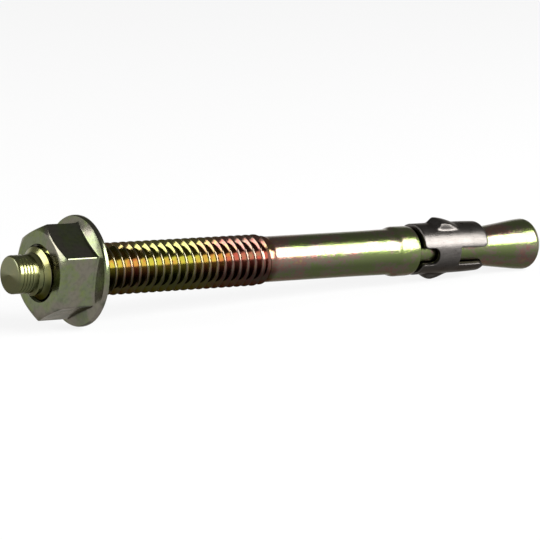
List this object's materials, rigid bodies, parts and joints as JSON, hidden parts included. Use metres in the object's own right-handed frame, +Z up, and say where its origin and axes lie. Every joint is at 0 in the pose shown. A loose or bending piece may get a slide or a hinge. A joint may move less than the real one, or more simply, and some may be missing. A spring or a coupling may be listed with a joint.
{
  "type": "wedge anchor",
  "caption": "Wedge anchor: a threaded stud with a flange nut at its tip and, at the other end, a cone with a slotted sheet-steel expansion clip round its neck.",
  "frame": {"origin": "middle of the lying anchor's length, on the surface that its flange and its cone rest on", "axes": "+X runs the way the anchor points into its hole, from the tip towards the cone, and +Z is up; the stud's own axis slopes down towards the cone by 2.84 degrees"},
  "size_m": [0.0986, 0.0166, 0.0166],
  "materials": {
    "stud_zinc": "yellow zinc plate",
    "nut_zinc": "yellow zinc plate",
    "clip_steel": "satin, tumbled"
  },
  "bodies": {
    "stud": {"anchor_bolt": "stud_zinc"},
    "nut": {"flange_nut": "nut_zinc"},
    "clip": {"expansion_clip": "clip_steel"}
  },
  "joints": [
    {"name": "nut_travel", "type": "slide", "parent": "stud", "child": "nut", "axis": [0.9988, 0, -0.0496], "range_m": [-0.0127, 0.03104]},
    {"name": "clip_travel", "type": "slide", "parent": "stud", "child": "clip", "axis": [-0.9988, 0, 0.0496], "range_m": [0, 0.00065]}
  ]
}
